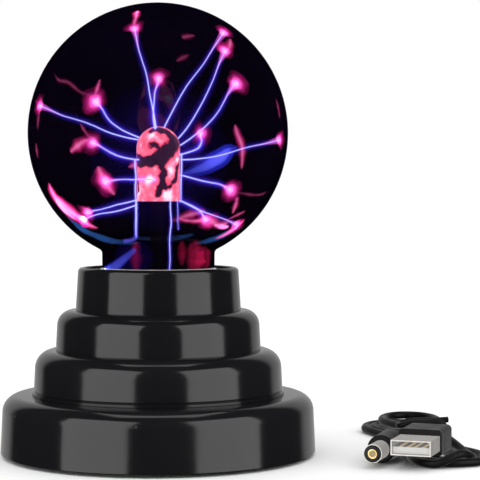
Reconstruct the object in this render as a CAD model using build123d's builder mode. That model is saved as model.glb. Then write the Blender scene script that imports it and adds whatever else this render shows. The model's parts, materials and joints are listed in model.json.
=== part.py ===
"""A 3-inch plasma ball on a stepped round base, with its loose DC power lead lying beside it.

Units are millimetres. +Z is up, the origin is the centre of the base on the surface that it stands on,
and the back of the base, with the power jack and the switch, faces +Y.
"""

from build123d import *
from math import cos, pi, radians, sin, tan
import os

os.makedirs("parts", exist_ok=True)

# ---------------------------------------------------------------- driving dimensions
BALL_RADIUS = 40.5
BALL_CENTRE_Z = 100.0
GLASS_WALL = 1.2
NECK_RADIUS = 17.6
NECK_END_RADIUS = 17.4
NECK_END_Z = 48.0

TUBE_RADIUS = 6.65
TUBE_BORE = 5.65
TUBE_DOME_Z = 95.4
HEAD_BOTTOM_Z = 79.5

# Each tier of the base: radius at its foot, radius at its shoulder, foot, top and shoulder rounding.
SKIRT_Z = 0.8
TIER_4 = dict(foot=49.1, top=48.3, z0=SKIRT_Z, z1=18.6, round=4.9)
TIER_3 = dict(foot=38.8, top=38.2, z0=18.9, z1=32.6, round=5.5)
TIER_2 = dict(foot=32.0, top=31.35, z0=32.6, z1=45.0, round=4.7)
COLLAR = dict(foot=25.8, top=25.0, z0=45.0, z1=58.2, round=1.3)
WALL = 2.3

COVER_Z = 1.0
COVER_TOP_Z = 2.8
COVER_RADIUS = 47.6
BOSS_RADIUS = 41.0
FOOT_RING_RADIUS = 38.0

BOARD_Z = 4.8
BOARD_TOP_Z = 6.4
STANDOFFS = [(25, 18), (-25, 18), (-25, -18), (25, -18)]

PANEL_Y = 46.6
PANEL_INNER_Y = 44.2
JACK_X, JACK_Z = -6.5, 10.2
SWITCH_X, SWITCH_Z = 6.5, 9.8
SWITCH_TRAVEL = 3.6

# The lead is drawn about the middle of its tie, which lies at this point of the surface.
TIE_X, TIE_Y = 84.3, 11.5
CORD_DIAMETER = 2.6
TIE_WIRE = 1.9
PLUG_TILT = 19.4
DC_AXIS_Z = 4.5
USB_AXIS_Z = 6.7
DC_ENTRY = (-8.0, -10.0)
USB_ENTRY = (1.1, -18.8)


# ---------------------------------------------------------------- helpers
def save(builder, name):
    """Labels the finished piece and writes its STEP file."""
    builder.part.label = name
    export_step(builder.part, f"parts/{name}.step")


def nearest(vertices, x, y):
    """The vertex of a sketch that is nearest to a point of it."""
    return vertices.sort_by_distance((x, y, 0))[0]


def bend_radii(points):
    """The largest tidy radius at each inner corner of a path, from the shorter run beside it."""
    corners = [Vector(*p) for p in points]
    radii = []
    for before, here, after in zip(corners, corners[1:], corners[2:]):
        half_turn = radians((here - before).get_angle(after - here)) / 2
        shorter = min((here - before).length, (after - here).length)
        radii.append(0.45 * shorter / tan(half_turn))
    return radii


def lead_point(u, v, z):
    """A point of the lead, from the tie's middle: u across, v away from the viewer, z up."""
    return (TIE_X + u, TIE_Y + v, z)


def round_wire(points, radius):
    """A round wire along a path of straight runs and tangent arcs."""
    with BuildPart() as wire:
        with BuildLine() as path:
            FilletPolyline(*points, radius=bend_radii(points))
        with BuildSketch(Plane(origin=path.line @ 0, z_dir=path.line % 0)):
            Circle(radius)
        sweep(path=path.line)
    return wire


PLUG_AXIS = (-sin(radians(PLUG_TILT)), -cos(radians(PLUG_TILT)), 0)
PLUG_ACROSS = (cos(radians(PLUG_TILT)), -sin(radians(PLUG_TILT)), 0)
dc_plane = Plane(origin=lead_point(*DC_ENTRY, DC_AXIS_Z), x_dir=PLUG_ACROSS, z_dir=PLUG_AXIS)
usb_plane = Plane(origin=lead_point(*USB_ENTRY, USB_AXIS_Z), x_dir=PLUG_ACROSS, z_dir=PLUG_AXIS)
# Seen from behind the base: local x runs to the viewer's right, local y is up, and z points out.
rear = Plane(origin=(0, PANEL_Y, 0), x_dir=(-1, 0, 0), z_dir=(0, 1, 0))

# ---------------------------------------------------------------- the sealed glass globe
inner_ball = BALL_RADIUS - GLASS_WALL
neck_bore = NECK_RADIUS - GLASS_WALL
neck_end_bore = NECK_END_RADIUS - GLASS_WALL
neck_top_z = BALL_CENTRE_Z - (BALL_RADIUS**2 - NECK_RADIUS**2) ** 0.5
neck_bore_top_z = BALL_CENTRE_Z - (inner_ball**2 - neck_bore**2) ** 0.5

with BuildPart() as glass_globe:
    with BuildSketch(Plane.XZ) as globe_section:
        with BuildLine():
            ThreePointArc(
                (0, BALL_CENTRE_Z + BALL_RADIUS), (BALL_RADIUS, BALL_CENTRE_Z), (NECK_RADIUS, neck_top_z)
            )
            Polyline(
                (NECK_RADIUS, neck_top_z),
                (NECK_END_RADIUS, NECK_END_Z),
                (neck_end_bore, NECK_END_Z),
                (neck_bore, neck_bore_top_z),
            )
            ThreePointArc(
                (neck_bore, neck_bore_top_z), (inner_ball, BALL_CENTRE_Z), (0, BALL_CENTRE_Z + inner_ball)
            )
            Line((0, BALL_CENTRE_Z + inner_ball), (0, BALL_CENTRE_Z + BALL_RADIUS))
        make_face()
        fillet(nearest(globe_section.vertices(), NECK_RADIUS, neck_top_z), radius=1.6)
        fillet(nearest(globe_section.vertices(), neck_bore, neck_bore_top_z), radius=2.6)
    revolve(axis=Axis.Z)
save(glass_globe, "glass_globe")

# The re-entrant tube: a closed dome at its top, and a flare that seals the neck at its foot.
with BuildPart() as electrode_tube:
    with BuildSketch(Plane.XZ) as tube_section:
        with BuildLine():
            dome = TUBE_RADIUS * cos(pi / 4)
            bore_dome = TUBE_BORE * cos(pi / 4)
            ThreePointArc(
                (0, TUBE_DOME_Z + TUBE_RADIUS), (dome, TUBE_DOME_Z + dome), (TUBE_RADIUS, TUBE_DOME_Z)
            )
            Polyline(
                (TUBE_RADIUS, TUBE_DOME_Z),
                (TUBE_RADIUS, NECK_END_Z + 1.6),
                (neck_end_bore, NECK_END_Z + 1.3),
                (neck_end_bore, NECK_END_Z),
                (TUBE_BORE, NECK_END_Z),
                (TUBE_BORE, TUBE_DOME_Z),
            )
            ThreePointArc(
                (TUBE_BORE, TUBE_DOME_Z), (bore_dome, TUBE_DOME_Z + bore_dome), (0, TUBE_DOME_Z + TUBE_BORE)
            )
            Line((0, TUBE_DOME_Z + TUBE_BORE), (0, TUBE_DOME_Z + TUBE_RADIUS))
        make_face()
        fillet(nearest(tube_section.vertices(), TUBE_RADIUS, NECK_END_Z + 1.6), radius=3.0)
    revolve(axis=Axis.Z)
save(electrode_tube, "electrode_tube")

# The pinched-off pip through which the globe was pumped out and filled.
PIP_X = 9.2
with BuildPart() as exhaust_tip:
    with BuildSketch(Plane.XZ.move(Location((PIP_X, 0, 0)))):
        with BuildLine():
            Polyline((0, NECK_END_Z), (2.1, NECK_END_Z), (1.9, 44.6))
            Spline((1.9, 44.6), (1.2, 42.4), (0, 41.0))
            Line((0, 41.0), (0, NECK_END_Z))
        make_face()
    revolve(axis=Axis((PIP_X, 0, 0), (0, 0, 1)))
save(exhaust_tip, "exhaust_tip")

# The conductive lining of the tube's head.
COATING_WALL = 0.35
coating_radius = TUBE_BORE - 0.05
with BuildPart() as electrode_coating:
    with BuildSketch(Plane.XZ):
        with BuildLine():
            bore = coating_radius - COATING_WALL
            ThreePointArc(
                (0, TUBE_DOME_Z + coating_radius),
                (coating_radius * cos(pi / 4), TUBE_DOME_Z + coating_radius * sin(pi / 4)),
                (coating_radius, TUBE_DOME_Z),
            )
            Polyline(
                (coating_radius, TUBE_DOME_Z),
                (coating_radius, HEAD_BOTTOM_Z),
                (bore, HEAD_BOTTOM_Z),
                (bore, TUBE_DOME_Z),
            )
            ThreePointArc(
                (bore, TUBE_DOME_Z),
                (bore * cos(pi / 4), TUBE_DOME_Z + bore * sin(pi / 4)),
                (0, TUBE_DOME_Z + bore),
            )
            Line((0, TUBE_DOME_Z + bore), (0, TUBE_DOME_Z + coating_radius))
        make_face()
    revolve(axis=Axis.Z)
save(electrode_coating, "electrode_coating")

# A plug of steel wool that touches the lining, on top of the feed wire's sleeve.
SLEEVE_TOP_Z = 84.0
with BuildPart() as contact_wool:
    with BuildSketch(Plane.XY.offset(SLEEVE_TOP_Z)):
        Circle(coating_radius - COATING_WALL - 0.1)
    extrude(amount=11)
    fillet(contact_wool.edges().sort_by(Axis.Z)[-1], radius=2.5)
save(contact_wool, "contact_wool")

FEED_WIRE_RADIUS = 0.8
with BuildPart() as feed_sleeve:
    with BuildSketch(Plane.XY.offset(44)):
        Circle(2.6)
        Circle(FEED_WIRE_RADIUS + 0.1, mode=Mode.SUBTRACT)
    extrude(amount=SLEEVE_TOP_Z - 44)
save(feed_sleeve, "feed_sleeve")

# The insulated high-tension wire, from the transformer's top up through the sleeve.
hv_route = [(0, 8.2, 23.4), (0, 8.2, 31.5), (0, 0, 40.0), (0, 0, SLEEVE_TOP_Z)]
hv_wire = round_wire(hv_route, FEED_WIRE_RADIUS)
save(hv_wire, "hv_wire")

# ---------------------------------------------------------------- the collar that holds the neck
COLLAR_BORE = 22.0
RIM_BORE = 23.2
RING_SEAT_Z = 55.4
SEAT_Z = 46.8
with BuildPart() as neck_collar:
    with BuildSketch(Plane.XZ) as collar_section:
        with BuildLine():
            Polyline(
                (COLLAR["foot"], COLLAR["z0"]),
                (COLLAR["top"], COLLAR["z1"]),
                (RIM_BORE, COLLAR["z1"]),
                (RIM_BORE, RING_SEAT_Z),
                (COLLAR_BORE, RING_SEAT_Z),
                (COLLAR_BORE, SEAT_Z),
                (12.4, SEAT_Z),
                (12.4, COLLAR["z0"]),
                (21.5, COLLAR["z0"]),
                (21.5, 41.6),
                (23.3, 41.6),
                (23.3, COLLAR["z0"]),
                close=True,
            )
        make_face()
        fillet(nearest(collar_section.vertices(), COLLAR["top"], COLLAR["z1"]), radius=COLLAR["round"])
        fillet(nearest(collar_section.vertices(), RIM_BORE, COLLAR["z1"]), radius=0.4)
    revolve(axis=Axis.Z)
    # Ribs that centre the neck, and barbs that snap under the tier below.
    with BuildSketch(Plane.XY.offset(SEAT_Z)):
        with PolarLocations(20.1, 6):
            Rectangle(4.2, 1.4)
    extrude(amount=6.5)
    with BuildSketch(Plane.XY.offset(41.8)):
        with PolarLocations(23.4, 4, start_angle=45):
            Rectangle(0.8, 6)
    extrude(amount=0.9)
save(neck_collar, "neck_collar")

with BuildPart() as neck_gasket:
    with BuildSketch(Plane.XY.offset(SEAT_Z)):
        Circle(17.5)
        Circle(13.6, mode=Mode.SUBTRACT)
    extrude(amount=NECK_END_Z - SEAT_Z)
save(neck_gasket, "neck_gasket")

# A split trim ring that closes the gap between the neck and the collar's rim.
RING_TOP_Z = 57.2
with BuildPart() as retaining_ring:
    with BuildSketch(Plane.XZ) as ring_section:
        with BuildLine():
            Polyline(
                (18.1, RING_SEAT_Z),
                (RIM_BORE - 0.2, RING_SEAT_Z),
                (RIM_BORE - 0.2, RING_TOP_Z + 0.2),
                (22.4, RING_TOP_Z + 0.2),
                (21.8, RING_TOP_Z - 0.4),
                (18.1, RING_TOP_Z - 0.1),
                close=True,
            )
        make_face()
        fillet(nearest(ring_section.vertices(), 22.4, RING_TOP_Z + 0.2), radius=0.35)
    revolve(axis=Axis.Z)
    with BuildSketch(Plane.XY.offset(RING_SEAT_Z)):
        with PolarLocations(21, 1, start_angle=-9):
            Rectangle(8, 1.1)
    extrude(amount=4, mode=Mode.SUBTRACT)
save(retaining_ring, "retaining_ring")

with BuildPart() as neck_adhesive:
    with BuildSketch(Plane.XZ) as bead_section:
        with BuildLine():
            Polyline((17.54, RING_TOP_Z - 0.1), (19.0, RING_TOP_Z - 0.1), (17.56, RING_TOP_Z + 0.9), close=True)
        make_face()
    revolve(axis=Axis.Z)
save(neck_adhesive, "neck_adhesive")

# ---------------------------------------------------------------- the middle casing, tiers 2 and 3
with BuildPart() as upper_housing:
    with BuildSketch(Plane.XZ) as upper_section:
        with BuildLine():
            Polyline(
                (TIER_3["foot"] + 0.5, TIER_3["z0"]),
                (TIER_3["foot"] + 0.5, TIER_3["z0"] + 0.7),
                (TIER_3["foot"] - 0.2, TIER_3["z0"] + 0.9),
                (TIER_3["foot"], TIER_3["z0"] + 1.5),
                (TIER_3["top"], TIER_3["z1"]),
                (TIER_2["foot"], TIER_2["z0"]),
                (TIER_2["top"], TIER_2["z1"]),
                (23.6, TIER_2["z1"]),
                (23.6, TIER_2["z1"] - 2.0),
                (TIER_2["top"] - WALL, TIER_2["z1"] - 2.0),
                (TIER_2["foot"] - WALL, TIER_3["z1"] - 2.0),
                (TIER_3["top"] - WALL, TIER_3["z1"] - 2.0),
                (TIER_3["foot"] - WALL, TIER_3["z0"] + 1.0),
                (34.6, TIER_3["z0"] + 0.5),
                (34.6, 14.8),
                (36.3, 14.8),
                (36.3, TIER_3["z0"]),
                close=True,
            )
        make_face()
        corners = upper_section.vertices()
        fillet(nearest(corners, TIER_3["top"], TIER_3["z1"]), radius=TIER_3["round"])
        fillet(nearest(upper_section.vertices(), TIER_2["top"], TIER_2["z1"]), radius=TIER_2["round"])
        fillet(
            nearest(upper_section.vertices(), TIER_3["top"] - WALL, TIER_3["z1"] - 2.0),
            radius=TIER_3["round"] - WALL,
        )
        fillet(
            nearest(upper_section.vertices(), TIER_2["top"] - WALL, TIER_2["z1"] - 2.0),
            radius=TIER_2["round"] - WALL,
        )
    revolve(axis=Axis.Z)
    # Barbs that snap under the top of the bottom tier.
    with BuildSketch(Plane.XY.offset(15.0)):
        with PolarLocations(36.5, 4, start_angle=45):
            Rectangle(0.9, 9)
    extrude(amount=1.4)
save(upper_housing, "upper_housing")

# ---------------------------------------------------------------- the bottom casing, tier 4
with BuildPart() as base_housing:
    with BuildSketch(Plane.XZ) as base_section:
        with BuildLine():
            Polyline(
                (TIER_4["foot"], TIER_4["z0"]),
                (TIER_4["top"], TIER_4["z1"]),
                (36.6, TIER_3["z0"]),
                (36.6, 16.8),
                (TIER_4["top"] - WALL, 16.4),
                (TIER_4["foot"] - WALL, COVER_TOP_Z),
                (COVER_RADIUS + 0.2, COVER_TOP_Z),
                (COVER_RADIUS + 0.2, TIER_4["z0"]),
                close=True,
            )
        make_face()
        fillet(nearest(base_section.vertices(), TIER_4["top"], TIER_4["z1"]), radius=TIER_4["round"])
        fillet(nearest(base_section.vertices(), TIER_4["top"] - WALL, 16.4), radius=TIER_4["round"] - WALL)
        fillet(nearest(base_section.vertices(), TIER_4["foot"], TIER_4["z0"]), radius=0.4)
    revolve(axis=Axis.Z)
    # Screw posts for the bottom cover.
    with BuildSketch(Plane.XY.offset(COVER_TOP_Z)):
        with PolarLocations(BOSS_RADIUS, 4, start_angle=45):
            Circle(3.2)
    extrude(amount=14.4)
    # The flat rear panel: a pad behind it, a pocket in front of it, and its two openings.
    with BuildSketch(rear.offset(PANEL_INNER_Y - PANEL_Y)):
        with Locations((0, 9.9)):
            Rectangle(31, 14.2)
    extrude(amount=PANEL_Y - PANEL_INNER_Y)
    with BuildSketch(rear):
        with Locations((0, 10.0)):
            RectangleRounded(27.4, 10.4, 1.6)
    extrude(amount=6, mode=Mode.SUBTRACT)
    with BuildSketch(rear.offset(1)):
        with Locations((-JACK_X, JACK_Z)):
            Circle(4.0)
        with Locations((-SWITCH_X, SWITCH_Z)):
            RectangleRounded(SWITCH_TRAVEL + 3.8, 3.4, 0.4)
    extrude(amount=-8, mode=Mode.SUBTRACT)
    with BuildSketch(Plane.XY.offset(COVER_TOP_Z)):
        with PolarLocations(BOSS_RADIUS, 4, start_angle=45):
            Circle(1.2)
    extrude(amount=11, mode=Mode.SUBTRACT)
save(base_housing, "base_housing")

# ---------------------------------------------------------------- the bottom cover, its screws and its feet
with BuildPart() as bottom_cover:
    with BuildSketch(Plane.XY.offset(COVER_Z)):
        Circle(COVER_RADIUS)
    extrude(amount=COVER_TOP_Z - COVER_Z)
    with BuildSketch(Plane.XY.offset(COVER_TOP_Z)):
        with Locations(*STANDOFFS):
            Circle(2.6)
    extrude(amount=BOARD_Z - COVER_TOP_Z)
    with BuildSketch(Plane.XY.offset(BOARD_Z)):
        with Locations(*STANDOFFS):
            Circle(1.0)
    extrude(amount=-3.0, mode=Mode.SUBTRACT)
    # Recesses for the feet, and countersunk holes for the screws.
    with BuildSketch(Plane.XY.offset(COVER_Z)):
        with PolarLocations(FOOT_RING_RADIUS, 4):
            Circle(4.7)
    extrude(amount=0.8, mode=Mode.SUBTRACT)
    with PolarLocations(BOSS_RADIUS, 4, start_angle=45):
        with Locations((0, 0, COVER_Z)):
            Cone(2.7, 1.3, 1.4, align=(Align.CENTER, Align.CENTER, Align.MIN), mode=Mode.SUBTRACT)
            Cylinder(1.3, 2.0, align=(Align.CENTER, Align.CENTER, Align.MIN), mode=Mode.SUBTRACT)
    # Two rows of vent slots.
    with BuildSketch(Plane.XY.offset(COVER_Z)):
        with GridLocations(5, 26, 7, 2):
            SlotOverall(9, 1.6, rotation=90)
    extrude(amount=2, mode=Mode.SUBTRACT)
save(bottom_cover, "bottom_cover")

SCREW_RADIUS = 1.15
with BuildPart() as cover_screws:
    with PolarLocations(BOSS_RADIUS, 4, start_angle=45):
        with Locations((0, 0, COVER_Z + 0.05)):
            Cone(2.6, SCREW_RADIUS, 1.35, align=(Align.CENTER, Align.CENTER, Align.MIN))
            Cylinder(SCREW_RADIUS, 11, align=(Align.CENTER, Align.CENTER, Align.MIN))
    # Cross recesses in the heads.
    with BuildSketch(Plane.XY.offset(COVER_Z + 0.05)):
        with PolarLocations(BOSS_RADIUS, 4, start_angle=45):
            Rectangle(2.6, 0.6)
            Rectangle(0.6, 2.6)
    extrude(amount=0.8, mode=Mode.SUBTRACT)
save(cover_screws, "cover_screws")

with BuildPart() as rubber_feet:
    with BuildSketch(Plane.XY):
        with PolarLocations(FOOT_RING_RADIUS, 4):
            Circle(4.5)
    extrude(amount=COVER_Z + 0.8)
    chamfer(rubber_feet.edges().group_by(Axis.Z)[0], length=0.4)
save(rubber_feet, "rubber_feet")

# ---------------------------------------------------------------- the circuit board and what stands on it
CORE_Y = -2.0
SINK_X, SINK_Y = 14, -16.5
TAB_HOLE_Z = 21.6
with BuildPart() as circuit_board:
    with BuildSketch(Plane.XY.offset(BOARD_Z)) as board_outline:
        RectangleRounded(58, 44, 2)
        with Locations((0, 31.5)):
            Rectangle(28, 22.6)
        with Locations(*STANDOFFS):
            Circle(1.1, mode=Mode.SUBTRACT)
    extrude(amount=BOARD_TOP_Z - BOARD_Z)
    # Slots for the legs of the jack and of the switch.
    with BuildSketch(Plane.XY.offset(BOARD_Z)):
        with Locations((JACK_X - 2.6, 30.3), (JACK_X + 2.6, 30.3)):
            Rectangle(2.4, 1.2)
        with Locations((SWITCH_X - 3, 35.7), (SWITCH_X, 35.7), (SWITCH_X + 3, 35.7)):
            Rectangle(1.2, 1.0)
    extrude(amount=2, mode=Mode.SUBTRACT)
save(circuit_board, "circuit_board")

with BuildPart() as board_screws:
    with BuildSketch(Plane.XY.offset(BOARD_TOP_Z)):
        with Locations(*STANDOFFS):
            Circle(1.9)
    extrude(amount=1.3)
    with BuildSketch(Plane.XY.offset(BOARD_TOP_Z + 0.1)):
        with Locations(*STANDOFFS):
            Circle(0.95)
    extrude(amount=-4.4)
    with BuildSketch(Plane.XY.offset(BOARD_TOP_Z + 1.3)):
        with Locations(*STANDOFFS):
            Rectangle(2.2, 0.5)
            Rectangle(0.5, 2.2)
    extrude(amount=-0.7, mode=Mode.SUBTRACT)
save(board_screws, "board_screws")

# The high-tension transformer: a pair of ferrite E halves through a flanged bobbin.
CORE_Z, CORE_BACK, CORE_HALF = 7.0, 3.2, 8.2
with BuildPart() as transformer_bobbin:
    with BuildSketch(Plane.XY.offset(CORE_Z + CORE_BACK)):
        with Locations((0, CORE_Y)):
            Rectangle(17.6, 18.4)
    extrude(amount=1.1)
    with BuildSketch(Plane.XY.offset(CORE_Z + CORE_BACK + 1.1)):
        with Locations((0, CORE_Y)):
            Circle(5.2)
    extrude(amount=7.8)
    with BuildSketch(Plane.XY.offset(CORE_Z + CORE_BACK + 8.9)):
        with Locations((0, CORE_Y)):
            Rectangle(17.6, 18.4)
    extrude(amount=1.1)
    # Rails that carry the pins down to the board.
    with BuildSketch(Plane.XY.offset(BOARD_TOP_Z)):
        with Locations((0, CORE_Y - 8), (0, CORE_Y + 8)):
            Rectangle(17.6, 2.4)
    extrude(amount=CORE_Z + CORE_BACK - BOARD_TOP_Z)
    with BuildSketch(Plane.XY.offset(CORE_Z + CORE_BACK)):
        with Locations((0, CORE_Y)):
            Rectangle(6.4, 6.4)
    extrude(amount=10, mode=Mode.SUBTRACT)
save(transformer_bobbin, "transformer_bobbin")

with BuildPart() as transformer_winding:
    with BuildSketch(Plane.XY.offset(CORE_Z + CORE_BACK + 1.2)):
        with Locations((0, CORE_Y)):
            Circle(8.3)
            Circle(5.25, mode=Mode.SUBTRACT)
    extrude(amount=7.6)
save(transformer_winding, "transformer_winding")

with BuildPart() as transformer_core:
    # Lower and upper E halves, which meet at the middle of their legs with a thin gap.
    for face, way in ((CORE_Z, 1), (CORE_Z + 2 * CORE_HALF, -1)):
        with BuildSketch(Plane.XY.offset(face)):
            with Locations((0, CORE_Y)):
                Rectangle(26, 6)
        extrude(amount=way * (CORE_BACK - 0.05))
        with BuildSketch(Plane.XY.offset(face)):
            with Locations((-11.4, CORE_Y), (0, CORE_Y), (11.4, CORE_Y)):
                Rectangle(3.2, 6)
            with Locations((0, CORE_Y)):
                Rectangle(6, 6)
        extrude(amount=way * (CORE_HALF - 0.05))
save(transformer_core, "transformer_core")

with BuildPart() as heat_sink:
    with BuildSketch(Plane.XY.offset(BOARD_TOP_Z)):
        with Locations((SINK_X, SINK_Y + 1.6)):
            Rectangle(17.6, 1.8)
        with Locations((SINK_X, SINK_Y - 1.2)):
            with GridLocations(3.2, 0, 6, 1):
                Rectangle(1.0, 4.2)
    extrude(amount=18)
    with BuildSketch(Plane.XZ.offset(-(SINK_Y + 2.5))):
        with Locations((SINK_X, TAB_HOLE_Z)):
            Circle(1.3)
    extrude(amount=1.8, mode=Mode.SUBTRACT)
save(heat_sink, "heat_sink")

TAB_Y = SINK_Y + 2.5
with BuildPart() as power_transistor:
    with BuildSketch(Plane.XZ.offset(-TAB_Y)):
        with Locations((SINK_X, 17.4)):
            Rectangle(10, 14.6)
        with Locations((SINK_X, TAB_HOLE_Z)):
            Circle(1.7, mode=Mode.SUBTRACT)
    extrude(amount=-1.3)
    with BuildSketch(Plane.XZ.offset(-(TAB_Y + 1.3))):
        with Locations((SINK_X, 14.2)):
            Rectangle(10, 8.2)
    extrude(amount=-3.1)
    with BuildSketch(Plane.XY.offset(BOARD_TOP_Z)):
        with Locations((SINK_X, TAB_Y + 2.4)):
            with GridLocations(2.54, 0, 3, 1):
                Rectangle(0.8, 0.5)
    extrude(amount=4.2)
save(power_transistor, "power_transistor")

with BuildPart() as transistor_screw:
    with BuildSketch(Plane.XZ.offset(-(TAB_Y + 1.35))):
        with Locations((SINK_X, TAB_HOLE_Z)):
            Circle(2.6)
    extrude(amount=-1.6)
    with BuildSketch(Plane.XZ.offset(-(TAB_Y + 1.4))):
        with Locations((SINK_X, TAB_HOLE_Z)):
            Circle(1.25)
    extrude(amount=3.1)
save(transistor_screw, "transistor_screw")

with BuildPart() as electrolytic_capacitors:
    with BuildSketch(Plane.XY.offset(BOARD_TOP_Z)):
        with Locations((-21, -9), (-21, 1.5)):
            Circle(4)
    extrude(amount=12)
    fillet(electrolytic_capacitors.edges().group_by(Axis.Z)[-1], radius=0.6)
save(electrolytic_capacitors, "electrolytic_capacitors")

with BuildPart() as film_capacitor:
    with BuildSketch(Plane.XY.offset(BOARD_TOP_Z)):
        with Locations((-7, -16.5)):
            RectangleRounded(13, 5.5, 1)
    extrude(amount=9.5)
    fillet(film_capacitor.edges().group_by(Axis.Z)[-1], radius=0.8)
save(film_capacitor, "film_capacitor")

RESISTOR_Z = BOARD_TOP_Z + 1.6
with BuildPart() as resistors:
    with BuildSketch(Plane.YZ.offset(-24)):
        with Locations((7.0, RESISTOR_Z), (10.5, RESISTOR_Z), (14.0, RESISTOR_Z)):
            Circle(1.2)
    extrude(amount=6.5)
    with BuildSketch(Plane.YZ.offset(-26)):
        with Locations((7.0, RESISTOR_Z), (10.5, RESISTOR_Z), (14.0, RESISTOR_Z)):
            Circle(0.3)
    extrude(amount=10.5)
    with BuildSketch(Plane.XY.offset(BOARD_TOP_Z)):
        for row in (7.0, 10.5, 14.0):
            with Locations((-25.7, row), (-15.8, row)):
                Circle(0.3)
    extrude(amount=RESISTOR_Z - BOARD_TOP_Z + 0.3)
save(resistors, "resistors")

with BuildPart() as oscillator_chip:
    with BuildSketch(Plane.XY.offset(BOARD_TOP_Z + 0.6)):
        with Locations((17, 8)):
            Rectangle(9.4, 6.4)
    extrude(amount=3.3)
    chamfer(oscillator_chip.edges().group_by(Axis.Z)[-1], length=0.4)
    with BuildSketch(Plane.XY.offset(BOARD_TOP_Z)):
        with Locations((17, 8)):
            with GridLocations(2.54, 7.2, 4, 2):
                Rectangle(0.6, 1.2)
    extrude(amount=2.2)
save(oscillator_chip, "oscillator_chip")

# ---------------------------------------------------------------- the power jack
JACK_CAVITY, CAVITY_FLOOR = 3.15, -10.0
PIN_RADIUS, PIN_SHANK, PIN_TIP = 1.0, 0.75, -1.4
with BuildPart() as dc_jack_body:
    with BuildSketch(rear.offset(PANEL_INNER_Y - PANEL_Y)):
        with Locations((-JACK_X, JACK_Z)):
            Rectangle(9, 2 * (JACK_Z - BOARD_TOP_Z))
    extrude(amount=-12.8)
    with BuildSketch(rear.offset(PANEL_INNER_Y - PANEL_Y)):
        with Locations((-JACK_X, JACK_Z)):
            Circle(3.9)
    extrude(amount=2.2)
    with BuildSketch(rear):
        with Locations((-JACK_X, JACK_Z)):
            Circle(JACK_CAVITY)
    extrude(amount=CAVITY_FLOOR, mode=Mode.SUBTRACT)
    with BuildSketch(rear.offset(CAVITY_FLOOR + 0.1)):
        with Locations((-JACK_X, JACK_Z)):
            Circle(PIN_SHANK + 0.03)
    extrude(amount=-4, mode=Mode.SUBTRACT)
save(dc_jack_body, "dc_jack_body")

with BuildPart() as dc_jack_pin:
    with BuildSketch(rear.offset(CAVITY_FLOOR + 0.1)):
        with Locations((-JACK_X, JACK_Z)):
            Circle(PIN_RADIUS)
    extrude(amount=PIN_TIP - CAVITY_FLOOR - 0.1)
    # Its thinner shank is pressed into the jack's body.
    with BuildSketch(rear.offset(CAVITY_FLOOR + 0.1)):
        with Locations((-JACK_X, JACK_Z)):
            Circle(PIN_SHANK)
    extrude(amount=-3.1)
    fillet(dc_jack_pin.edges().sort_by(Axis.Y)[-1], radius=0.6)
save(dc_jack_pin, "dc_jack_pin")

with BuildPart() as dc_jack_terminals:
    with BuildSketch(Plane.XY.offset(3.2)):
        with Locations((JACK_X - 2.6, 30.3), (JACK_X + 2.6, 30.3)):
            Rectangle(2.0, 0.8)
    extrude(amount=8)
save(dc_jack_terminals, "dc_jack_terminals")

# ---------------------------------------------------------------- the slide switch, at rest in its on position
CASE_Y0, CASE_Y1 = 36.4, 43.4
CASE_TOP_Z = 13.2
SLIDER_X = SWITCH_X + SWITCH_TRAVEL / 2
with BuildPart() as switch_case:
    with BuildSketch(Plane.XZ.offset(-CASE_Y0)):
        with Locations((SWITCH_X, (BOARD_TOP_Z + CASE_TOP_Z) / 2)):
            Rectangle(10.8, CASE_TOP_Z - BOARD_TOP_Z)
    extrude(amount=-(CASE_Y1 - CASE_Y0))
    # The slider's chamber, and the slot in the case's face.
    with BuildSketch(Plane.XZ.offset(-(CASE_Y0 + 1.6))):
        with Locations((SWITCH_X, SWITCH_Z)):
            Rectangle(SWITCH_TRAVEL + 5.0, 4.4)
    extrude(amount=-4.4, mode=Mode.SUBTRACT)
    with BuildSketch(Plane.XZ.offset(-(CASE_Y0 + 5.8))):
        with Locations((SWITCH_X, SWITCH_Z)):
            Rectangle(SWITCH_TRAVEL + 3.4, 3.0)
    extrude(amount=-2, mode=Mode.SUBTRACT)
save(switch_case, "switch_case")

with BuildPart() as switch_slider:
    with BuildSketch(Plane.XZ.offset(-(CASE_Y0 + 2.0))):
        with Locations((SLIDER_X, SWITCH_Z)):
            Rectangle(4.6, 4.0)
    extrude(amount=-3.6)
    with BuildSketch(Plane.XZ.offset(-(CASE_Y0 + 5.0))):
        with Locations((SLIDER_X, SWITCH_Z)):
            Rectangle(3.0, 2.6)
    extrude(amount=-(48.5 - CASE_Y0 - 5.0))
    # Thumb grooves across its end.
    with BuildSketch(Plane.XY.offset(SWITCH_Z - 2)):
        with Locations((SLIDER_X, 48.5)):
            with GridLocations(1.0, 0, 3, 1):
                Rectangle(0.4, 1.0)
    extrude(amount=4, mode=Mode.SUBTRACT)
save(switch_slider, "switch_slider")

with BuildPart() as switch_terminals:
    with BuildSketch(Plane.XY.offset(3.2)):
        with Locations((SWITCH_X - 3, 35.7), (SWITCH_X, 35.7), (SWITCH_X + 3, 35.7)):
            Rectangle(0.8, 0.6)
    extrude(amount=6.5)
save(switch_terminals, "switch_terminals")

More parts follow.
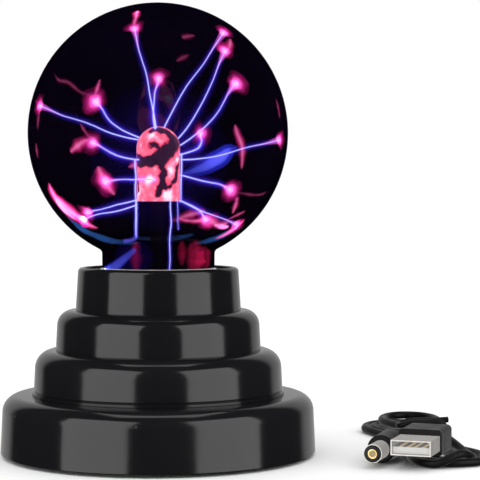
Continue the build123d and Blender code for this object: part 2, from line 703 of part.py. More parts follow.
# ---------------------------------------------------------------- the power lead: its barrel plug
RELIEF_LENGTH, DC_GRIP_END = 9.0, 26.0
BARREL_RADIUS, BARREL_ROOT, BARREL_LENGTH = 2.75, 2.55, 9.0
with BuildPart() as dc_plug_grip:
    with BuildSketch(dc_plane):
        Circle(2.3)
    extrude(amount=RELIEF_LENGTH + 1)
    # The ribs of the strain relief, each a little larger than the one before.
    for start, rib in ((0.3, 3.1), (3.2, 3.5), (6.1, 3.8)):
        with BuildSketch(dc_plane.offset(start)):
            Circle(rib)
        extrude(amount=1.9)
    with BuildSketch(dc_plane.offset(RELIEF_LENGTH)):
        Circle(3.7)
    with BuildSketch(dc_plane.offset(RELIEF_LENGTH + 3.5)):
        Circle(4.5)
    loft()
    with BuildSketch(dc_plane.offset(RELIEF_LENGTH + 3.5)):
        Circle(4.5)
    with BuildSketch(dc_plane.offset(DC_GRIP_END)):
        Circle(4.25)
    loft()
    fillet(dc_plug_grip.edges().sort_by(Axis(dc_plane.origin, dc_plane.z_dir))[-1], radius=0.6)
    with BuildSketch(dc_plane.offset(DC_GRIP_END)):
        Circle(BARREL_ROOT + 0.02)
    extrude(amount=-8, mode=Mode.SUBTRACT)
save(dc_plug_grip, "dc_plug_grip")

with BuildPart() as dc_plug_barrel:
    with BuildSketch(dc_plane.offset(DC_GRIP_END)):
        Circle(BARREL_RADIUS)
    extrude(amount=BARREL_LENGTH)
    with BuildSketch(dc_plane.offset(DC_GRIP_END - 7)):
        Circle(BARREL_ROOT)
    extrude(amount=7)
    with BuildSketch(dc_plane.offset(DC_GRIP_END - 7)):
        Circle(2.3)
    extrude(amount=BARREL_LENGTH + 7, mode=Mode.SUBTRACT)
save(dc_plug_barrel, "dc_plug_barrel")

# The insulator lines the barrel and shows as a rounded black end.
with BuildPart() as dc_plug_insulator:
    with BuildSketch(dc_plane.offset(DC_GRIP_END - 6)):
        Circle(2.28)
    extrude(amount=15.1)
    with BuildSketch(dc_plane.offset(DC_GRIP_END + BARREL_LENGTH + 0.02)):
        Circle(BARREL_ROOT)
    extrude(amount=1.0)
    fillet(dc_plug_insulator.edges().sort_by(Axis(dc_plane.origin, dc_plane.z_dir))[-1], radius=0.6)
    with BuildSketch(dc_plane.offset(DC_GRIP_END + 11)):
        Circle(1.42)
    extrude(amount=-12, mode=Mode.SUBTRACT)
save(dc_plug_insulator, "dc_plug_insulator")

with BuildPart() as dc_plug_contact:
    with BuildSketch(dc_plane.offset(DC_GRIP_END - 0.9)):
        Circle(1.4)
        Circle(1.05, mode=Mode.SUBTRACT)
    extrude(amount=10.4)
save(dc_plug_contact, "dc_plug_contact")

# ---------------------------------------------------------------- the power lead: its USB plug
USB_NECK, USB_GRIP_END, USB_SHELL_END = 4.6, 18.4, 30.4
SHELL_W, SHELL_H, SHELL_WALL = 12.0, 4.5, 0.35
usb_across = Axis(usb_plane.origin, usb_plane.z_dir)
with BuildPart() as usb_plug_grip:
    with BuildSketch(usb_plane):
        RectangleRounded(5.4, 4.8, 1.6)
    extrude(amount=USB_NECK + 1)
    with BuildSketch(usb_plane.offset(1.2)):
        RectangleRounded(6.0, 5.4, 1.6)
    extrude(amount=1.2)
    with BuildSketch(usb_plane.offset(USB_NECK)):
        RectangleRounded(13.2, 8.0, 1.4)
    extrude(amount=USB_GRIP_END - USB_NECK)
    chamfer(usb_plug_grip.faces().sort_by(usb_across)[-1].edges(), length=0.35)
    with BuildSketch(usb_plane.offset(USB_GRIP_END)):
        Rectangle(SHELL_W + 0.04, SHELL_H + 0.04)
    extrude(amount=-7, mode=Mode.SUBTRACT)
save(usb_plug_grip, "usb_plug_grip")

# The sheet-metal shell, with its two square windows on each face and one slot by the grip.
across = usb_plane.x_dir
with BuildPart() as usb_plug_shell:
    with BuildSketch(usb_plane.offset(USB_GRIP_END - 6)):
        Rectangle(SHELL_W, SHELL_H)
        Rectangle(SHELL_W - 2 * SHELL_WALL, SHELL_H - 2 * SHELL_WALL, mode=Mode.SUBTRACT)
    extrude(amount=USB_SHELL_END - USB_GRIP_END + 6)
    window_plane = Plane(
        origin=usb_plane.origin + usb_plane.z_dir * USB_GRIP_END, x_dir=across, z_dir=(0, 0, 1)
    )
    with BuildSketch(window_plane):
        with Locations((-2.9, 5.2), (2.9, 5.2)):
            Rectangle(2.3, 2.3)
    extrude(amount=5, both=True, mode=Mode.SUBTRACT)
    with BuildSketch(window_plane):
        with Locations((0, 2.0)):
            SlotOverall(2.4, 0.8)
    extrude(amount=5, mode=Mode.SUBTRACT)
save(usb_plug_shell, "usb_plug_shell")

TONGUE_Z = -0.75
with BuildPart() as usb_plug_tongue:
    with BuildSketch(usb_plane.offset(USB_GRIP_END - 5)):
        with Locations((0, TONGUE_Z)):
            Rectangle(11.2, 1.9)
    extrude(amount=16.2)
    # Four channels for the contacts.
    with BuildSketch(usb_plane.offset(USB_GRIP_END + 1)):
        with Locations((-3.5, 0.1), (-1.0, 0.1), (1.0, 0.1), (3.5, 0.1)):
            Rectangle(1.2, 0.5)
    extrude(amount=9.4, mode=Mode.SUBTRACT)
save(usb_plug_tongue, "usb_plug_tongue")

with BuildPart() as usb_plug_contacts:
    with BuildSketch(usb_plane.offset(USB_GRIP_END + 1.1)):
        with Locations((-3.5, 0.04), (-1.0, 0.04), (1.0, 0.04), (3.5, 0.04)):
            Rectangle(1.1, 0.3)
    extrude(amount=9.0)
save(usb_plug_contacts, "usb_plug_contacts")

# ---------------------------------------------------------------- the power lead: its cord and tie
WAIST_Z, WAIST_HEIGHT = 2.0, 5.2
WAIST_NEAR, WAIST_FAR = -2.6, 4.5
UPPER_HEIGHT, LOWER_HEIGHT = 5.3, CORD_DIAMETER


def outline(points):
    """The face inside a smooth closed curve through points given from the tie's middle."""
    with BuildSketch() as shape:
        with BuildLine():
            Spline(*[(TIE_X + u, TIE_Y + v) for u, v in points], periodic=True)
        make_face()
    return shape.sketch


# The hank: four loops on the far side of the tie, three on the near side, and a waist in the tie.
with BuildPart() as lead_hank:
    with BuildSketch(Plane.XY):
        add(outline([(-3.4, 3.2), (-9.0, 13.0), (-16.6, 33.0), (-13.4, 44.6), (-1.5, 48.6), (9.4, 41.4),
                     (11.6, 29.0), (8.6, 14.0), (5.0, 3.2)]))
    extrude(amount=UPPER_HEIGHT)
    with BuildSketch(Plane.XY):
        add(outline([(-0.6, 9.5), (-5.8, 23.0), (-8.6, 34.0), (-2.8, 39.6), (1.8, 34.0), (2.6, 24.0)]))
    extrude(amount=UPPER_HEIGHT, mode=Mode.SUBTRACT)
    with BuildSketch(Plane.XY):
        add(outline([(5.2, -3.4), (10.2, -14.0), (16.0, -29.0), (12.2, -40.4), (2.4, -44.0), (-6.6, -40.4),
                     (-8.2, -30.5), (-5.2, -16.0), (-3.6, -3.4)]))
    extrude(amount=LOWER_HEIGHT)
    with BuildSketch(Plane.XY):
        add(outline([(1.4, -12.0), (4.6, -22.0), (5.2, -30.0), (2.2, -35.6), (-1.6, -34.0), (-2.6, -27.0),
                     (-0.8, -19.0)]))
    extrude(amount=LOWER_HEIGHT, mode=Mode.SUBTRACT)
    # The waist is lifted by the tie's wire, which passes under it.
    with BuildSketch(Plane.XY.offset(-1)):
        with Locations((TIE_X, TIE_Y + (WAIST_FAR + WAIST_NEAR) / 2)):
            Rectangle(30, WAIST_FAR - WAIST_NEAR - 0.6)
    extrude(amount=10, mode=Mode.SUBTRACT)
    with BuildSketch(Plane.XZ.offset(-TIE_Y - WAIST_FAR)):
        with Locations((TIE_X, WAIST_Z + WAIST_HEIGHT / 2)):
            RectangleRounded(4 * CORD_DIAMETER, WAIST_HEIGHT, CORD_DIAMETER / 2)
    extrude(amount=WAIST_FAR - WAIST_NEAR)
save(lead_hank, "lead_hank")

dc_end_route = [
    lead_point(-3.7, WAIST_NEAR, 5.5),
    dc_plane.origin - dc_plane.z_dir * 4.0,
    dc_plane.origin,
]
lead_end_dc = round_wire(dc_end_route, CORD_DIAMETER / 2)
save(lead_end_dc, "lead_end_dc")

usb_end_route = [
    lead_point(1.3, WAIST_NEAR, 5.9),
    usb_plane.origin - usb_plane.z_dir * 7.6,
    usb_plane.origin,
]
lead_end_usb = round_wire(usb_end_route, CORD_DIAMETER / 2)
save(lead_end_usb, "lead_end_usb")

# A plastic-covered wire, hooked once over the bundle and passed round under it.
tie_route = [
    lead_point(8.2, 2.7, 8.5),
    lead_point(4.6, 2.4, 8.3),
    lead_point(-4.4, 1.8, 8.3),
    lead_point(-8.0, 0.9, 7.2),
    lead_point(-8.0, -2.3, 7.0),
    lead_point(-4.4, -3.0, 8.3),
    lead_point(5.2, -1.6, 8.4),
    lead_point(7.4, -1.1, 6.3),
    lead_point(7.3, -0.7, 2.6),
    lead_point(4.9, -0.4, 0.96),
    lead_point(-4.9, 0.3, 0.96),
    lead_point(-7.1, 0.5, 2.6),
    lead_point(-7.1, 0.6, 4.4),
]
lead_tie = round_wire(tie_route, TIE_WIRE / 2)
save(lead_tie, "lead_tie")

for route_name, route in (("lead_end_dc", dc_end_route), ("lead_end_usb", usb_end_route), ("lead_tie", tie_route)):
    print(route_name, "bend radii", [round(r, 1) for r in bend_radii(route)])
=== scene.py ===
"""The looks of the plasma ball and its loose power lead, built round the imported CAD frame."""

import bmesh
import bpy
import json
import math
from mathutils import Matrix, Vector, noise


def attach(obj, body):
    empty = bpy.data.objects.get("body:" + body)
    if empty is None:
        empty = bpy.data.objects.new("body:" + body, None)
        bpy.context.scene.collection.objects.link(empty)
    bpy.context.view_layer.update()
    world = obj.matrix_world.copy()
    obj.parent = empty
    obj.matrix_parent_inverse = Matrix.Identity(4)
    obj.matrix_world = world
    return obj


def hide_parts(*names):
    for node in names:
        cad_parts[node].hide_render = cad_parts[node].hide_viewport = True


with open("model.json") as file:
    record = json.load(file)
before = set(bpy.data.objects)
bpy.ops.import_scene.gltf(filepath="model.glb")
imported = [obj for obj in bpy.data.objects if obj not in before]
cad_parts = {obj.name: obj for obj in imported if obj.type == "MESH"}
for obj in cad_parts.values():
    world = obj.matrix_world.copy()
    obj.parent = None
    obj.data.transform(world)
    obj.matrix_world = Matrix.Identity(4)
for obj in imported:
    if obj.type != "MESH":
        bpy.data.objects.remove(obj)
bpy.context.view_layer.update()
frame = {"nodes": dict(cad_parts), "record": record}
nodes = frame["nodes"]
scene = bpy.context.scene

MM = 0.001
CENTRE = Vector((0, 0, 100.0))      # the globe's centre, in millimetres
INNER_RADIUS = 39.3                 # of the globe's glass
HALF_WALL = 0.6                     # half the glass's thickness
NECK_BORE = 16.4
TUBE_RADIUS = 6.65
HEAD_LOW, HEAD_HIGH = 79.5, 102.0   # the lit head of the electrode


# ---------------------------------------------------------------- camera
CAMERA_PLACE = Vector((0.0255, -0.521, 0.0796))     # in metres
CAMERA_AIM = Vector((0.0255, 0.0, 0.0667))


def make_camera():
    """A long lens at the height of the ball's lower half, a little to the right of the base's middle."""
    data = bpy.data.cameras.new("camera")
    data.sensor_width = 36.0
    data.lens = 125.0
    data.clip_start, data.clip_end = 0.01, 50.0
    camera = bpy.data.objects.new("camera", data)
    camera.location = CAMERA_PLACE
    aim = CAMERA_AIM - camera.location
    camera.rotation_euler = aim.to_track_quat("-Z", "Y").to_euler()
    scene.collection.objects.link(camera)
    scene.camera = camera


make_camera()


# ---------------------------------------------------------------- the lead's cord
TIE_X, TIE_Y = 84.3, 11.5
CORD_DIAMETER = 2.6
PLUG_TILT = math.radians(19.4)
PLUG_AXIS = Vector((-math.sin(PLUG_TILT), -math.cos(PLUG_TILT), 0))
DC_ENTRY = Vector((-8.0, -10.0, 4.5))
USB_ENTRY = Vector((1.1, -18.8, 6.7))
LOW, HIGH = 3.3, 5.9                # the two layers of strands inside the tie
FLOOR_LAYER, SECOND_LAYER = 1.32, 3.9
FAR_TURNS = (184, 148, 112, 76, 40, 4)
NEAR_TURNS = (-4, -40, -76, -112, -148, -184)


def tied(u, z):
    """The two points that take a strand straight through the tie, from its near side."""
    return [(u, -1.8, z), (u, 3.4, z)]


def bend(middle, radii, layer, turns):
    """Points round a loop's end, an oval about a middle, through angles in degrees, in one layer."""
    step = math.radians(abs(turns[1] - turns[0])) / 2
    points = []
    for degrees in turns:
        a = math.radians(degrees)
        points.append((middle[0] + radii[0] / math.cos(step) * math.cos(a),
                       middle[1] + radii[1] / math.cos(step) * math.sin(a), layer))
    return points


def cord_points():
    """The cord from the DC plug, through four far loops and three near ones, to the USB plug."""
    points = [DC_ENTRY + PLUG_AXIS, DC_ENTRY - PLUG_AXIS * 4.0]
    # far loop C: second from the outside, then the inner near loop
    points += tied(-3.9, HIGH)
    points += [(-5.6, 12, 3.7), (-8.3, 20, 1.6), (-12.0, 29, FLOOR_LAYER)]
    points += bend((-3.4, 35.5), (9.9, 10.5), FLOOR_LAYER, FAR_TURNS)
    points += [(5.4, 24, FLOOR_LAYER), (3.2, 15, 1.4), (1.5, 8, 2.6)]
    points += reversed(tied(1.3, LOW))
    points += [(3.0, -7, 2.0), (5.6, -14, FLOOR_LAYER), (7.4, -22, FLOOR_LAYER)]
    points += bend((2.4, -29.6), (5.6, 6.6), FLOOR_LAYER, NEAR_TURNS)
    points += [(-2.1, -20, FLOOR_LAYER), (-1.9, -12, 2.6), (-1.4, -6, 4.8)]
    # far loop B: the one that lies over the others, then the middle near loop
    points += tied(-1.3, HIGH)
    points += [(-2.7, 12, 4.6), (-5.0, 19, 4.0), (-8.4, 27, SECOND_LAYER)]
    points += bend((-0.8, 36.0), (9.4, 13.5), SECOND_LAYER, FAR_TURNS)
    points += [(8.0, 25, SECOND_LAYER), (6.1, 17, 4.0), (4.5, 10, 4.8)]
    points += reversed(tied(3.9, HIGH))
    points += [(5.4, -8, 4.8), (7.6, -14, 3.7), (10.0, -21, 1.9)]
    points += [(11.7, -29.5, FLOOR_LAYER), (10.6, -36.5, 2.6), (7.6, -40.4, 4.2), (4.4, -42.2, 3.9)]
    points += [(0.0, -43.0, FLOOR_LAYER)]
    points += [(-4.4, -40.6, FLOOR_LAYER), (-7.1, -33.5, FLOOR_LAYER), (-6.9, -24, FLOOR_LAYER)]
    points += [(-5.8, -14, FLOOR_LAYER), (-4.4, -7, 2.6)]
    # far loop A: the outermost, then the outer near loop
    points += tied(-3.9, LOW)
    points += [(-7.8, 12, 1.6), (-11.4, 20, FLOOR_LAYER), (-15.2, 29, FLOOR_LAYER)]
    points += bend((-3.4, 35.5), (12.5, 13.1), FLOOR_LAYER, FAR_TURNS)
    points += [(8.0, 24, FLOOR_LAYER), (5.9, 15, 1.5), (4.2, 8, 2.4)]
    points += reversed(tied(3.9, LOW))
    points += [(5.8, -7, 2.0), (9.5, -14, FLOOR_LAYER), (14.0, -21.5, FLOOR_LAYER)]
    points += [(15.9, -30, FLOOR_LAYER), (13.4, -37.4, FLOOR_LAYER), (7.4, -40.2, FLOOR_LAYER)]
    points += [(1.2, -40.6, FLOOR_LAYER), (-3.2, -36.4, FLOOR_LAYER), (-4.7, -29, FLOOR_LAYER)]
    points += [(-4.4, -20, FLOOR_LAYER), (-3.7, -12, 1.6), (-2.2, -6.5, 2.6)]
    # far loop D: the innermost, then the end that runs to the USB plug
    points += tied(-1.3, LOW)
    points += [(-3.2, 12, 1.6), (-5.6, 20, FLOOR_LAYER), (-9.4, 29, FLOOR_LAYER)]
    points += bend((-3.4, 35.5), (7.3, 7.9), FLOOR_LAYER, FAR_TURNS)
    points += [(3.0, 25, 1.6), (2.0, 17, 3.5), (1.6, 10, 4.8)]
    points += reversed(tied(1.3, HIGH))
    points += [USB_ENTRY - PLUG_AXIS * 7.6, USB_ENTRY + PLUG_AXIS]
    return [Vector(p) + Vector((TIE_X, TIE_Y, 0)) for p in points]


def make_cord(points):
    """One NURBS curve whose control points are the cord's route."""
    curve = bpy.data.curves.new("lead_cord", "CURVE")
    curve.dimensions = "3D"
    curve.resolution_u = 6
    curve.bevel_depth = 1.0     # times each point's own radius
    curve.bevel_resolution = 5
    curve.use_fill_caps = True
    spline = curve.splines.new("NURBS")
    spline.points.add(len(points) - 1)
    for control, place in zip(spline.points, points):
        control.co = (*(place * MM), 1.0)
        control.radius = CORD_DIAMETER / 2 * MM
    spline.order_u = 3
    spline.use_endpoint_u = True
    cord = bpy.data.objects.new("lead_cord", curve)
    scene.collection.objects.link(cord)
    return cord


PLUG_NODES = ["dc_plug_grip", "dc_plug_barrel", "dc_plug_insulator", "dc_plug_contact", "usb_plug_grip",
              "usb_plug_shell", "usb_plug_tongue", "usb_plug_contacts", "lead_tie"]
cord = make_cord(cord_points())
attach(cord, "power_lead")
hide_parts("lead_hank", "lead_end_dc", "lead_end_usb")


# ---------------------------------------------------------------- finishes
def shader_of(name):
    """A new material with an empty tree and an output."""
    material = bpy.data.materials.new(name)
    material.use_nodes = True
    tree = material.node_tree
    tree.nodes.clear()
    return material, tree, tree.nodes.new("ShaderNodeOutputMaterial")


def put(tree, kind, inputs=(), **settings):
    """A shader node. Each input is (socket's name or place, value or the socket that feeds it)."""
    made = tree.nodes.new(kind)
    for key, value in settings.items():
        setattr(made, key, value)
    for socket, value in inputs:
        if isinstance(value, bpy.types.NodeSocket):
            tree.links.new(value, made.inputs[socket])
        else:
            made.inputs[socket].default_value = value
    return made


def rgba(colour):
    """A colour with full alpha."""
    return (*colour, 1.0)


def surface_places(tree, stretch=(1, 1, 1)):
    """The object's own coordinates, in metres, perhaps stretched."""
    own = put(tree, "ShaderNodeTexCoord").outputs["Object"]
    return put(tree, "ShaderNodeMapping", [("Vector", own), ("Scale", stretch)]).outputs[0]


def mottle(tree, where, scale, detail=3.0):
    """Fractal noise, about 0.3 to 0.7."""
    return put(tree, "ShaderNodeTexNoise", [
        ("Vector", where), ("Scale", scale), ("Detail", detail)]).outputs["Fac"]


def carried(tree, value, low, high, from_low=0.3, from_high=0.7):
    """A value carried from one range to another."""
    return put(tree, "ShaderNodeMapRange", [("Value", value), ("From Min", from_low), ("From Max", from_high),
                                            ("To Min", low), ("To Max", high)]).outputs["Result"]


def mixed(tree, factor, first, second):
    """A colour between two others."""
    return put(tree, "ShaderNodeMix", [(0, factor), (6, first), (7, second)], data_type="RGBA").outputs[2]


def maths(tree, operation, first, second=0.0):
    """One sum on two values."""
    return put(tree, "ShaderNodeMath", [(0, first), (1, second)], operation=operation).outputs[0]


def bumped(tree, height, distance):
    """A normal bent by a height from 0 to 1, as deep as a distance in metres."""
    return put(tree, "ShaderNodeBump", [("Height", height), ("Distance", distance)]).outputs["Normal"]


GLOSS_PATCHES = 2.3     # patches of gloss are this much finer than those of colour


def moulded(name, colour, rough, vary=0.15, rough_vary=0.05, patch=60.0, grain=900.0, depth=0.00002,
            stretch=(1, 1, 1), metallic=0.0, specular=0.5):
    """Plastic, rubber or metal: patches of slightly different colour and gloss, and a fine grain."""
    material, tree, output = shader_of(name)
    where = surface_places(tree, stretch)
    patches = mottle(tree, where, patch)
    darker = rgba([c * (1 - vary) for c in colour])
    lighter = rgba([min(1.0, c * (1 + vary)) for c in colour])
    fine = mottle(tree, where, grain, 4.0)
    shader = put(tree, "ShaderNodeBsdfPrincipled", [
        ("Base Color", mixed(tree, carried(tree, patches, 0, 1), darker, lighter)),
        ("Roughness", carried(tree, mottle(tree, where, patch * GLOSS_PATCHES),
                              rough - rough_vary, rough + rough_vary)),
        ("Normal", bumped(tree, fine, depth)),
        ("Metallic", metallic), ("Specular IOR Level", specular)])
    tree.links.new(shader.outputs[0], output.inputs["Surface"])
    return material


def glass_face(tree, colour, alpha, rough, specular):
    """Dark coloured glass that lets light straight through, with faint streaks from blowing."""
    where = surface_places(tree, (1, 1, 0.35))
    streaks = mottle(tree, where, 45.0)
    darker = rgba([c * 0.6 for c in colour])
    return put(tree, "ShaderNodeBsdfPrincipled", [
        ("Base Color", mixed(tree, carried(tree, streaks, 0, 1), darker, rgba(colour))),
        ("Roughness", carried(tree, streaks, rough * 0.7, rough * 1.3)),
        ("Normal", bumped(tree, mottle(tree, where, 22.0, 1.0), 0.00004)),
        ("Alpha", alpha), ("Specular IOR Level", specular)]).outputs[0]


def tube_glass():
    """The electrode tube's wall, a little smoked."""
    material, tree, output = shader_of("tube_glass_smoked")
    tree.links.new(glass_face(tree, (0.012, 0.004, 0.012), 0.2, 0.05, 0.4), output.inputs["Surface"])
    return material


def globe_glass():
    """The globe's wall: hardly any gloss outside, and inside a mirror for the discharge."""
    material, tree, output = shader_of("globe_glass_clear")
    own = put(tree, "ShaderNodeTexCoord").outputs["Object"]
    away = put(tree, "ShaderNodeVectorMath", [(0, own), (1, CENTRE * MM)], operation="DISTANCE")
    outside = maths(tree, "GREATER_THAN", away.outputs["Value"], (INNER_RADIUS + HALF_WALL) * MM)
    colour = (0.0035, 0.0015, 0.0075)
    both = put(tree, "ShaderNodeMixShader", [
        (0, outside), (1, glass_face(tree, colour, GLASS_ALPHA, 0.02, 0.5)),
        (2, glass_face(tree, colour, GLASS_ALPHA, 0.03, 0.0))])
    tree.links.new(both.outputs[0], output.inputs["Surface"])
    return material


def lit_head():
    """The electrode's lining, with the light of the gas over it painted on as emission; it shows dimly in the
    dark veins of the gas over it: dark red and ragged.
    """
    material, tree, output = shader_of("head_coating_lit")
    where = surface_places(tree)
    warp = put(tree, "ShaderNodeTexNoise", [("Vector", where), ("Scale", 150.0), ("Detail", 3.0)])
    shift = put(tree, "ShaderNodeVectorMath", [(0, warp.outputs["Color"]), (1, (0.009, 0.009, 0.009))],
                operation="MULTIPLY")
    bent = put(tree, "ShaderNodeVectorMath", [(0, where), (1, shift.outputs[0])], operation="ADD")
    cells = put(tree, "ShaderNodeTexVoronoi", [("Vector", bent.outputs[0]), ("Scale", 105.0)],
                feature="DISTANCE_TO_EDGE")
    veins = carried(tree, cells.outputs["Distance"], 0, 1, 0.04, 0.15)
    hot = carried(tree, mottle(tree, where, 190.0), 0, 1, 0.42, 0.66)
    colour = ramp(tree, maths(tree, "MULTIPLY", veins, carried(tree, hot, 0.74, 1.0, 0, 1)), [
        (0.0, (0.003, 0.0, 0.002)), (0.3, (0.12, 0.006, 0.03)), (0.6, (0.85, 0.1, 0.2)),
        (0.86, (1.0, 0.19, 0.3)), (1.0, (1.0, 0.55, 0.75))])
    # The lining's emission is painted glow: the gas's light given to the lining itself.
    shader = put(tree, "ShaderNodeBsdfPrincipled", [
        ("Base Color", (0.02, 0.01, 0.015, 1)), ("Roughness", 0.5),
        ("Normal", bumped(tree, veins, 0.0002)),
        ("Emission Color", colour), ("Emission Strength", HEAD_LIGHT)])
    tree.links.new(shader.outputs[0], output.inputs["Surface"])
    return material


def ramp(tree, factor, stops):
    """A colour ramp from (place, colour) stops."""
    made = put(tree, "ShaderNodeValToRGB", [("Fac", factor)])
    elements = made.color_ramp.elements
    while len(elements) < len(stops):
        elements.new(0.5)
    for element, (place, colour) in zip(elements, stops):
        element.position = place
        element.color = rgba(colour)
    return made.outputs["Color"]


def banded(name, colour, band, axis_scale, rough):
    """A finish with fine ridges or windings along one axis."""
    material, tree, output = shader_of(name)
    where = surface_places(tree)
    waves = put(tree, "ShaderNodeTexWave", [("Vector", where), ("Scale", axis_scale), ("Distortion", 0.4)],
                bands_direction="Z").outputs["Fac"]
    patches = mottle(tree, where, 120.0)
    shader = put(tree, "ShaderNodeBsdfPrincipled", [
        ("Base Color", mixed(tree, waves, rgba(band), rgba(colour))),
        ("Roughness", carried(tree, patches, rough - 0.08, rough + 0.08)),
        ("Normal", bumped(tree, waves, 0.0001))])
    tree.links.new(shader.outputs[0], output.inputs["Surface"])
    return material


GLASS_ALPHA = 0.62
CLEAR = (1 - GLASS_ALPHA) ** 2      # the share of light that crosses both faces of the globe's wall
HEAD_LIGHT = 0.22 / CLEAR

FINISHES = {
    "housing_black": moulded("housing_black_gloss", (0.0055, 0.0052, 0.006), 0.13, rough_vary=0.025,
                             patch=25.0, grain=500.0, depth=0.000004),
    "globe_glass": globe_glass(),
    "tube_glass": tube_glass(),
    "head_coating": lit_head(),
    "steel_wool": moulded("steel_wool_matted", (0.3, 0.3, 0.31), 0.45, vary=0.6, patch=700.0, grain=2500.0,
                          depth=0.0004, stretch=(1, 1, 0.3), metallic=0.9),
    "sleeve_grey": moulded("sleeve_grey_silicone", (0.05, 0.045, 0.06), 0.6),
    "silicone_white": moulded("silicone_bead", (0.62, 0.62, 0.6), 0.35, patch=200.0, grain=700.0,
                              depth=0.0001),
    "rubber_black": moulded("rubber_feet_black", (0.02, 0.02, 0.021), 0.75, grain=1500.0, depth=0.00005),
    "screw_steel": moulded("screw_steel_zinc", (0.62, 0.62, 0.63), 0.3, metallic=1.0, patch=400.0),
    "board_green": moulded("board_green_mask", (0.01, 0.14, 0.05), 0.35, vary=0.25, patch=150.0,
                           grain=700.0),
    "ferrite": moulded("ferrite_grey", (0.06, 0.06, 0.065), 0.55, patch=300.0, grain=2500.0,
                       depth=0.00006),
    "bobbin_white": moulded("bobbin_nylon", (0.72, 0.7, 0.64), 0.5),
    "winding_tape": banded("winding_tape_wound", (0.75, 0.52, 0.1), (0.5, 0.3, 0.05), 330.0, 0.35),
    "sink_aluminium": moulded("sink_aluminium_extruded", (0.7, 0.71, 0.72), 0.35, metallic=1.0,
                              stretch=(1, 1, 0.08), grain=3000.0, depth=0.00003),
    "epoxy_black": moulded("epoxy_black_matt", (0.02, 0.02, 0.02), 0.6, grain=2500.0, depth=0.00005),
    "capacitor_sleeve": moulded("capacitor_sleeve_blue", (0.02, 0.05, 0.22), 0.3, patch=200.0),
    "film_red": moulded("film_red_dipped", (0.42, 0.05, 0.03), 0.25, patch=250.0, grain=600.0,
                        depth=0.00008),
    "resistor_tan": banded("resistor_tan_banded", (0.6, 0.46, 0.28), (0.3, 0.12, 0.05), 700.0, 0.4),
    "contact_tin": moulded("contact_tin_dipped", (0.7, 0.7, 0.69), 0.28, metallic=1.0, patch=500.0),
    "contact_gold": moulded("contact_gold_plate", (0.85, 0.6, 0.24), 0.22, metallic=1.0, patch=500.0),
    "nickel": moulded("nickel_plate", (0.6, 0.57, 0.54), 0.3, vary=0.06, metallic=1.0, patch=250.0,
                      grain=1600.0, depth=0.000008, stretch=(1, 1, 0.15)),
    "switch_black": moulded("switch_black_satin", (0.009, 0.009, 0.0095), 0.35, grain=1600.0, specular=0.3),
    "cord_black": moulded("cord_black_vinyl", (0.007, 0.0068, 0.007), 0.36, rough_vary=0.07, patch=90.0,
                          grain=1100.0, depth=0.00002, specular=0.12),
    "tongue_white": moulded("tongue_white_plastic", (0.6, 0.59, 0.57), 0.4),
}
for part in frame["record"]["subparts"]:
    for held in nodes[part["node"]].material_slots:
        held.material = FINISHES[part["material_slot"]]
cord.data.materials.append(FINISHES["cord_black"])
for loose in [cord] + [nodes[name] for name in PLUG_NODES]:
    loose.visible_glossy = False    # the ball's base and its lead lie apart in the studio


# ---------------------------------------------------------------- the discharge inside the globe, and painted reflections in its glass
WANDER_SEED = 7
DOME = HEAD_HIGH - TUBE_RADIUS      # where the electrode's straight wall turns into its round top
SPOT_DEPTH = 1.0                    # how far inside the glass the spots' middles lie
AGAINST_GLASS = {"flat": 0.4, "sides": 16}
noise.seed_set(WANDER_SEED)         # vector noise is different in every run without a seed


def heading(azimuth, elevation):
    """A unit vector. Azimuth runs from the front towards +X and elevation up from level, in degrees."""
    a, e = math.radians(azimuth), math.radians(elevation)
    return Vector((math.cos(e) * math.sin(a), -math.cos(e) * math.cos(a), math.sin(e)))


def on_head(azimuth, height, clear=0.25):
    """A point just outside the electrode's tube, at a height above the globe's centre."""
    over = max(0.0, height - (DOME - CENTRE.z))
    out = math.sqrt(max(TUBE_RADIUS ** 2 - over ** 2, 0.2)) + clear
    side = math.radians(azimuth)
    return Vector((out * math.sin(side), -out * math.cos(side), height))


def arc(start, lean, end, steps=44):
    """A streamer's line: it leaves along a lean, wanders a little, and turns towards the glass to meet it."""
    span = (end - start).length
    first = start + lean * span * 0.4
    second = end - (end.normalized() * 0.4 + (end - start) / span * 0.6) * span * 0.22
    line = []
    for i in range(steps + 1):
        t = i / steps
        place = (start * (1 - t) ** 3 + first * 3 * t * (1 - t) ** 2
                 + second * 3 * t * t * (1 - t) + end * t ** 3)
        sway = noise.noise_vector(place * 0.08 + end) * 1.0 + noise.noise_vector(place * 0.3 + end) * 0.07
        line.append(place + sway * math.sin(math.pi * t))
    return line


def over_glass(first, last, depth=1.0, steps=24):
    """A line over the inside of the glass between two headings."""
    low, high = heading(*first), heading(*last)
    return [low.slerp(high, i / steps).normalized() * (INNER_RADIUS - depth) for i in range(steps + 1)]


def sweep(shape, line, width, heat=None, flat=1.0, sides=10):
    """Adds a closed round tube along a line. width(t) is its radius; flat squeezes it towards the glass."""
    layer = shape.verts.layers.float.get("heat") or shape.verts.layers.float.new("heat")
    rings = []
    across = None
    for i, place in enumerate(line):
        t = i / (len(line) - 1)
        ahead = (line[min(i + 1, len(line) - 1)] - line[max(i - 1, 0)]).normalized()
        inward = place.normalized() if flat < 1 else (across or ahead.orthogonal())
        side = ahead.cross(inward).normalized()
        across = side.cross(ahead).normalized()
        ring = []
        for k in range(sides):
            a = 2 * math.pi * k / sides
            offset = side * math.cos(a) + across * math.sin(a) * flat
            vertex = shape.verts.new((CENTRE + place + offset * width(t)) * MM)
            vertex[layer] = heat(t) if heat else t
            ring.append(vertex)
        rings.append(ring)
    for one, two in zip(rings, rings[1:]):
        for k in range(sides):
            shape.faces.new((one[k], one[(k + 1) % sides], two[(k + 1) % sides], two[k]))
    shape.faces.new(reversed(rings[0]))
    shape.faces.new(rings[-1])


